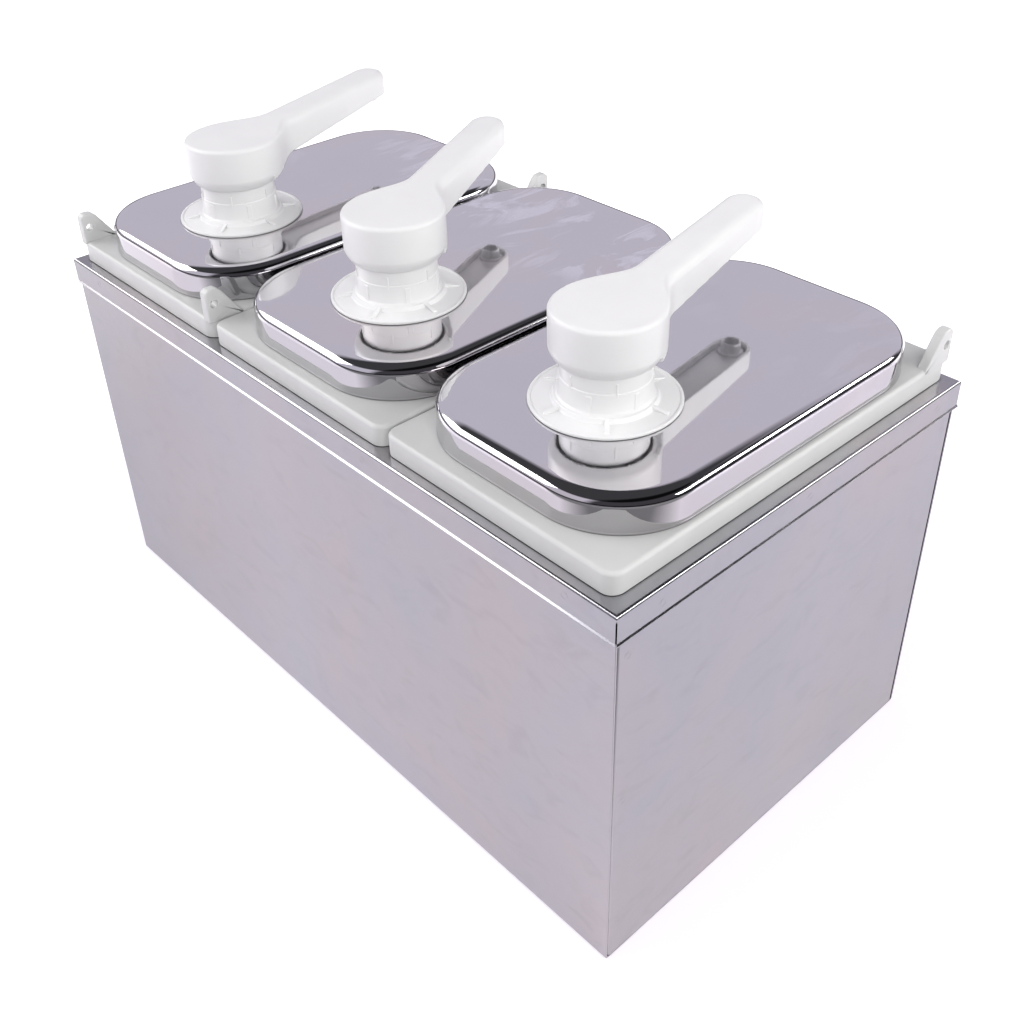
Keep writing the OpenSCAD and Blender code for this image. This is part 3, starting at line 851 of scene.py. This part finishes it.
def build_lid(name, pump):
    """Pressed pan, mouth down: hem, wall, rolled edge and a flat top with the pump's hole."""
    lo, hi = box_mm(name + "_lid")
    centre = (lo + hi) / 2
    w, d, h = hi - lo
    n = 26
    shell = Shell()
    outline = (w, d, LID_CORNER)
    # the edge is a tight roll that eases into the top on a wide, shallow arc
    soft, hard, lean = 14.0, 4.0, math.radians(16)
    inset = hard * (1 - math.sin(lean)) + soft * math.sin(lean)
    drop = hard * math.cos(lean) + soft * (1 - math.cos(lean))

    def skin(flip):
        """Path from the hem up the wall and over the rolled edge; flip gives the inside."""
        pts, nor = [], []
        hem = [(0.05, 0.0), (0.22, 0.45), (0.16, 1.0), (0.0, 1.5)]
        if flip:
            hem = [(0.0, 0.0), (0.0, 1.5)]
        for x, z in hem + [(0.0, h - drop - 0.6)]:
            pts.append((x, z))
            nor.append((1, 0))
        if not flip:
            nor[0], nor[1], nor[2] = (0.75, -0.66), (0.98, -0.2), (0.98, 0.18)
        steps = 14
        for k in range(steps + 1):
            a = math.pi / 2 - (math.pi / 2 - lean) * k / steps
            pts.append((-hard + hard * math.sin(a), h - drop + hard * math.cos(a)))
            nor.append((math.sin(a), math.cos(a)))
        for k in range(1, 7):
            a = lean * (1 - k / 6)
            pts.append((-inset + soft * math.sin(a), h - soft * (1 - math.cos(a))))
            nor.append((math.sin(a), math.cos(a)))
        pts.append((-inset - 1.5, h))
        nor.append((0, 1))
        pts, nor = np.array(pts, float), np.array(nor, float)
        if flip:
            pts = pts - nor * LID_SHEET
            nor = -nor
        return pts, nor

    rings = offset_rings(outline, skin(False), n)
    inner_rings = offset_rings(outline, skin(True), n)
    size = len(rings[0][0])
    rel = np.array(pump[:2]) - centre[:2]

    def hole(z, nz):
        pts = rings[-1][0][:, :2] - rel
        a = np.arctan2(pts[:, 1], pts[:, 0])
        return (np.stack([rel[0] + LID_HOLE_R * np.cos(a), rel[1] + LID_HOLE_R * np.sin(a),
                          np.full(size, z)], 1), np.tile((0, 0, nz), (size, 1)))

    seq = inner_rings[:1] + rings + [hole(h, 1.0), hole(h - LID_SHEET, -1.0)]
    shell.loft(seq + inner_rings[::-1], capped=False)
    make(name + "_lid_pressing", welded(shell), LIDS[name], name + "_lid",
         [name + "_lid"], at=(centre[0], centre[1], lo[2]))


def welded(shell):
    """Merges points that coincide, keeping the first one's normal."""
    v, n = np.vstack(shell.v), np.vstack(shell.n)
    key = np.round(v, 4)
    _, first, inverse = np.unique(key, axis=0, return_index=True, return_inverse=True)
    inverse = inverse.ravel()
    out = Shell()
    out.points(v[first], n[first])
    for f in shell.f:
        g = []
        for i in f:
            j = int(inverse[i])
            if j not in g:
                g.append(j)
        if len(g) > 2:
            out.f.append(tuple(g))
    return out


# ---------------------------------------------------------------- pump

# heights are above the lid's top, lengths from the pump's axis
HEAD_R, HEAD_H, NOZZLE_L, NOZZLE_W = 22.55, 40.9, 121.0, 18.5
SPOUT_Y = NOZZLE_L - NOZZLE_W / 2
SKIRT_LOW, SKIRT_IN = 19.7, 19.3
ARM_TOP, ARM_LOW, ARM_ROOT = 43.0, 30.2, 22.6      # top and foot at the tip, foot at the head
RISE_FROM = 15.0                                   # where the arm's top starts to rise
PLATE_IN, PLATE_T = 2.5, 1.5
TOP_SLOPE = (ARM_TOP - HEAD_H) / (NOZZLE_L - RISE_FROM)
LOW_SLOPE = (ARM_LOW - ARM_ROOT) / (SPOUT_Y - HEAD_R)
COLLAR_TURN = {"left": -10, "middle": -18, "right": 0}


def arm_low(y):
    return ARM_ROOT + LOW_SLOPE * np.minimum(y - HEAD_R, SPOUT_Y - HEAD_R)


def arm_top(y):
    return HEAD_H + TOP_SLOPE * np.maximum(y - RISE_FROM, 0)


def capsule(x, y, start, r):
    """Distance in plan to a bar with round ends, from start to the spout."""
    return np.hypot(x, y - np.clip(y, start, SPOUT_Y)) - r


def head_field(x, y, z):
    """Cap, skirt and nozzle arm in one moulding, hollow inside."""
    r = np.hypot(x, y)
    # cap with a bevelled foot
    cap = meet_round(r - HEAD_R, z - HEAD_H, 1.8)
    bevel = (r - 20.2) * 0.851 - (z - SKIRT_LOW) * 0.525
    cap = meet_round(cap, bevel, 0.8)
    cap = meet_round(cap, SKIRT_LOW - z, 0.35)
    # arm, blended into the cap in plan
    plan = union_round(r - HEAD_R, capsule(x, y, 0, NOZZLE_W / 2), 15.0)
    ease = np.clip((y - 12) / 22, 0, 1)
    ease = ease * ease * (3 - 2 * ease)
    arm = meet_round(plan, z - arm_top(y), 1.8 + 2.4 * ease)
    arm = meet_round(arm, arm_low(y) - z, 0.6)
    arm = np.maximum(arm, -(y - 4))
    body = np.minimum(cap, arm)
    # hollow below the arm's root
    neck = union_round(r - HEAD_R, arm_low(y) - z, 3.6)
    neck = np.maximum(np.maximum(neck, plan + 0.6), z - arm_low(y) - 1.5)
    neck = np.maximum(np.maximum(neck, -(y - 6)), SKIRT_LOW + 1.5 - z)
    body = np.minimum(body, neck)
    # channel along the arm
    run = capsule(x, y, 30, NOZZLE_W / 2 - 1.8)
    run = meet_round(run, 26.5 - y, 0.8)
    run = meet_round(run, z - (arm_top(y) - 2.0), 1.0)
    body = np.maximum(body, -run)
    # room inside the skirt, with the boss and the duct left in it
    room = meet_round(r - SKIRT_IN, z - (HEAD_H - 1.7), 0.8)
    boss = np.maximum(r - 8.3, 24 - z)
    duct = np.maximum(np.maximum(np.abs(x) - 6.5, 34.7 - z), -y)
    room = np.maximum(room, -np.minimum(boss, duct))
    body = np.maximum(body, -room)
    bore = np.maximum(r - 6.05, z - (HEAD_H - 1.7))
    body = np.maximum(body, -bore)
    way = np.maximum(np.maximum(np.abs(x) - 5.2, np.abs(z - 37.6) - 1.6), np.maximum(-y, y - 27))
    return np.maximum(body, -way)


def plate_field(x, y, z):
    """Plate that closes the arm from below, with the spout."""
    rise = z - arm_low(y) - PLATE_IN
    plan = capsule(x, y, 30, NOZZLE_W / 2 - 1.85)
    plan = np.maximum(plan, 26.6 - y)
    sheet = np.maximum(plan, np.maximum(-rise, rise - PLATE_T))
    r = np.hypot(x, y - SPOUT_Y)
    tube = meet_round(r - 4.5, 26.8 - z, 0.5)
    tube = np.maximum(tube, rise - PLATE_T)
    collar = meet_round(r - 6.2, -rise - 0.9, 0.3)
    collar = np.maximum(collar, rise - PLATE_T)
    body = union_round(np.minimum(sheet, collar), tube, 0.5)
    return np.maximum(body, -(r - 3.2))


HEAD = surface(head_field, (-24, -24, 18.6), (24, 123, 45), 0.85)
PLATE = surface(plate_field, (-9, 25.4, 24), (9, 122, 36), 0.7)


def spun(shell, name, at):
    """A station's copy of a nozzle shape, turned as the photo shows it."""
    m = Matrix.Rotation(math.radians(TURN[name]), 4, "Z")
    m.translation = Vector(at)
    return shell.moved(m)


def wedge_rib(width, profile, edge):
    """Rib with a section (along, up), width across, its edges eased."""
    path, nor = round_path([(x, z, edge) for x, z in profile], closed=True, step=30.0)
    size = len(path)
    shell = Shell()
    rings = []
    for y, inset, side in ((-width / 2, edge, -1), (-width / 2 + edge, 0, 0),
                           (width / 2 - edge, 0, 0), (width / 2, edge, 1)):
        q = path - nor * inset
        k = 1.0 if side == 0 else 0.35
        rings.append((np.stack([q[:, 0], np.full(size, y), q[:, 1]], 1),
                      np.stack([nor[:, 0] * k, np.full(size, float(side)), nor[:, 1] * k], 1)))
    bases = [shell.points(p, n) for p, n in rings]
    for a, b in zip(bases[:-1], bases[1:]):
        shell.bridge(a, b, size, True)
    shell.seal(bases[0], size)
    shell.seal(bases[-1], size, True)
    return shell


def collar_shell():
    """Flange, base ring and neck, with six ribs, six lugs and six thin fins."""
    shell = Shell()
    closed_revolve(shell, [
        (14.1, -14, 0.4), (16.6, -14, 0.6), (16.6, 0.02, 0.1), (30.6, 0.02, 0.5),
        (30.6, 1.5, 0.6), (29.4, 1.5, 0.4), (29.0, 1.15, 0.5), (21.4, 1.3, 0.7),
        (20.6, 3.3, 0.5), (19.6, 3.3, 0.5), (18.7, 4.2, 0.6), (18.55, 12.2, 0.3),
        (18.2, 12.6, 0.3), (18.2, 20.2, 0.5), (16.4, 20.2, 0.4), (16.4, 4, 0.3),
        (14.1, 4, 0.4)], 128, 12)
    for k in range(6):
        a = math.radians(60 * k)
        rib = wedge_rib(2.0, [(19.8, 1.0), (27.6, 1.0), (27.2, 1.75), (24.0, 2.35),
                              (20.2, 3.1), (19.8, 3.1)], 0.25)
        shell.add(rib.moved(Matrix.Rotation(a, 4, "Z")))
        lug = wedge_rib(2.4, [(17.6, 3.0), (19.0, 3.0), (19.0, 10.8), (18.7, 11.3),
                              (17.6, 11.3)], 0.22)
        shell.add(lug.moved(Matrix.Rotation(a + math.radians(38), 4, "Z")))
        fin = wedge_rib(0.9, [(17.6, 11.0), (18.75, 11.0), (18.65, 16.6), (17.6, 17.2)], 0.2)
        shell.add(fin.moved(Matrix.Rotation(a + math.radians(12), 4, "Z")))
    return shell


COLLAR = collar_shell()


def spring_shell(low, high, radius, wire, turns):
    """Round wire on a helix with a closed end turn at top and bottom."""
    steps = int(turns * 36)
    sides = 10
    shell = Shell()
    bases = []
    for k in range(steps + 1):
        t = k / steps
        a = 2 * math.pi * turns * t
        # the first and last turns lie nearly flat
        e = min(max((t * turns - 0.8) / (turns - 1.6), 0), 1)
        z = low + wire + (high - low - 2 * wire) * (e + 0.02 * (t - e))
        c = np.array([radius * math.cos(a), radius * math.sin(a), z])
        out = np.array([math.cos(a), math.sin(a), 0.0])
        pts, nor = [], []
        for s in range(sides):
            b = 2 * math.pi * s / sides
            nrm = out * math.cos(b) + np.array([0, 0, 1.0]) * math.sin(b)
            pts.append(c + nrm * wire)
            nor.append(nrm)
        bases.append(shell.points(pts, nor))
    for a, b in zip(bases[:-1], bases[1:]):
        shell.bridge(a, b, sides, True)
    shell.seal(bases[0], sides)
    shell.seal(bases[-1], sides, True)
    return shell


def build_station(name):
    """One tub with its lid and pump. The pump's hidden pieces keep their CAD shapes."""
    lo, hi = box_mm(name + "_gasket")
    axis = (lo + hi)[:2] / 2
    top = box_mm(name + "_lid")[1][2]
    at = (axis[0], axis[1], top)
    build_tub(name)
    build_lid(name, at)
    turned = COLLAR.moved(Matrix.Rotation(math.radians(COLLAR_TURN[name] - 45), 4, "Z"))
    make(name + "_collar_moulding", turned, WHITE, name + "_lid",
         [name + "_collar"], at=at)
    make(name + "_head_moulding", spun(HEAD, name, at), WHITE, name + "_nozzle",
         [name + "_head"])
    make(name + "_nozzle_cover", spun(PLATE, name, at), WHITE, name + "_nozzle",
         [name + "_nozzle_plate"])
    slo, shi = box_mm(name + "_spring")
    coil = spring_shell(slo[2] - top, shi[2] - top, radius=10.2, wire=0.7, turns=7)
    spring = make(name + "_spring_coil", coil, SPRING, name + "_lid",
                  [name + "_spring"], at=at)
    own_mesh(spring)
    finishes = {"gasket": RUBBER, "lock_nut": WHITE, "cylinder": NATURAL, "guide_cap": WHITE,
                "valve_cage": WHITE, "dip_tube": NATURAL, "inlet_ball": BALL, "piston": WHITE,
                "stem": WHITE, "outlet_ball": BALL}
    for piece, material in finishes.items():
        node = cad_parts[name + "_" + piece]
        node.data.materials.clear()
        node.data.materials.append(material)


# ---------------------------------------------------------------- studio

def build_studio():
    """Pale sweep, a room that is light at eye level and dark on the right, and softboxes."""
    mesh = bpy.data.meshes.new("floor")
    s = 6.0                    # half of the floor's side
    mesh.from_pydata([(-s, -s, 0), (s, -s, 0), (s, s, 0), (-s, s, 0)], [], [(0, 1, 2, 3)])
    floor = linked("floor", mesh)
    floor.location.z = -0.0004
    m, nt, b = node_material("pale_floor")
    b.inputs["Roughness"].default_value = 0.9
    b.inputs["Specular IOR Level"].default_value = 0.1
    # the sweep is lit around the object and falls away in front of it
    axis = nt.nodes.new("ShaderNodeVectorMath")
    axis.operation = "DOT_PRODUCT"
    axis.inputs[1].default_value = (0.728, -0.685, 0)
    nt.links.new(coords(nt), axis.inputs[0])
    fall = spread(nt, axis.outputs["Value"], 0.27, 0.42, 0.0, 1.0)
    nt.links.new(mixed(nt, fall, (0.80, 0.765, 0.83), (0.22, 0.22, 0.23)), b.inputs["Base Color"])
    glow = mixed(nt, fall, (0.40, 0.385, 0.42), (0.03, 0.03, 0.03))
    behind = spread(nt, axis.outputs["Value"], -0.12, -0.45, 0.0, 1.0)
    nt.links.new(mixed(nt, behind, glow, (0.95, 0.95, 0.95)), b.inputs["Emission Color"])
    b.inputs["Emission Strength"].default_value = 1.0
    mesh.materials.append(m)

    world = bpy.data.worlds.new("studio")
    bpy.context.scene.world = world
    world.use_nodes = True
    nt = world.node_tree
    nt.nodes.clear()
    out = nt.nodes.new("ShaderNodeOutputWorld")
    bg = nt.nodes.new("ShaderNodeBackground")
    tex = nt.nodes.new("ShaderNodeTexCoord")
    sep = nt.nodes.new("ShaderNodeSeparateXYZ")
    nt.links.new(tex.outputs["Generated"], sep.inputs["Vector"])
    # up is the sine of the elevation
    wall = (0.600, 0.570, 0.655)
    top = (0.050, 0.050, 0.055)
    dark = (0.045, 0.045, 0.050)
    col = ramp(nt, sep.outputs["Z"], [(0.0, dark), (0.085, dark), (0.14, wall), (0.66, wall),
                                      (0.74, top), (1.0, top)], True)
    # the room is dark on the far right
    right = ramp(nt, sep.outputs["X"], [(0.0, 1.0), (0.12, 1.0), (0.30, 0.09), (1.0, 0.09)])
    nt.links.new(times(nt, col, right), bg.inputs["Color"])
    bg.inputs["Strength"].default_value = 1.0
    nt.links.new(bg.outputs["Background"], out.inputs["Surface"])

    def softbox(name, toward, distance, size, radiance, mirrored=True):
        """A lamp aimed at the object. Not mirrored: it lights but is not seen in the steel."""
        light = bpy.data.lights.new(name, "AREA")
        light.shape = "RECTANGLE"
        light.size, light.size_y = size
        light.energy = radiance * math.pi * size[0] * size[1]
        light.color = (1.0, 0.995, 0.99)
        obj = linked(name, light)
        d = Vector(toward).normalized()
        obj.location = Vector((0, 0, 0.2)) + d * distance
        obj.rotation_mode = "QUATERNION"
        obj.rotation_quaternion = d.to_track_quat("Z", "Y")
        obj.visible_glossy = mirrored

    softbox("softbox_left", (-0.66, -0.46, 0.50), 1.5, (1.15, 0.85), 4.0)
    softbox("softbox_right", (0.70, 0.56, 0.42), 1.5, (1.2, 0.26), 9.0)
    softbox("softbox_fill", (0.68, -0.50, 0.40), 1.8, (1.2, 1.0), 5.0, mirrored=False)
    softbox("softbox_side", (0.90, 0.18, 0.30), 1.8, (1.0, 0.8), 1.6, mirrored=False)
    softbox("softbox_above", (0.1, -0.1, 1.0), 1.6, (1.4, 1.2), 1.1, mirrored=False)


def build_camera():
    """The photo's camera, as solved from the case's edges."""
    azimuth, elevation, roll = math.radians(46.76), math.radians(34.24), math.radians(-0.8)
    back = Vector((math.sin(azimuth) * math.cos(elevation),
                   -math.cos(azimuth) * math.cos(elevation), math.sin(elevation)))
    right = Vector((math.cos(azimuth), math.sin(azimuth), 0))
    up = back.cross(right)
    side = right * math.cos(roll) + up * math.sin(roll)
    rise = up * math.cos(roll) - right * math.sin(roll)
    data = bpy.data.cameras.new("camera")
    data.sensor_width = 36.0
    data.lens = 42.99
    data.shift_x = -0.0261
    data.shift_y = -0.0599
    data.clip_start, data.clip_end = 0.01, 50
    cam = linked("camera", data)
    m = Matrix((side, rise, back)).transposed().to_4x4()
    m.translation = Vector((0.4027, -0.3377, 0.4714))
    cam.matrix_world = m
    bpy.context.scene.camera = cam


build_camera()
build_studio()
build_case()
build_frame()
build_weld_marks()
for station in STATIONS:
    build_station(station)
bpy.context.scene.view_settings.view_transform = "Standard"
bpy.context.scene.view_settings.look = "None"
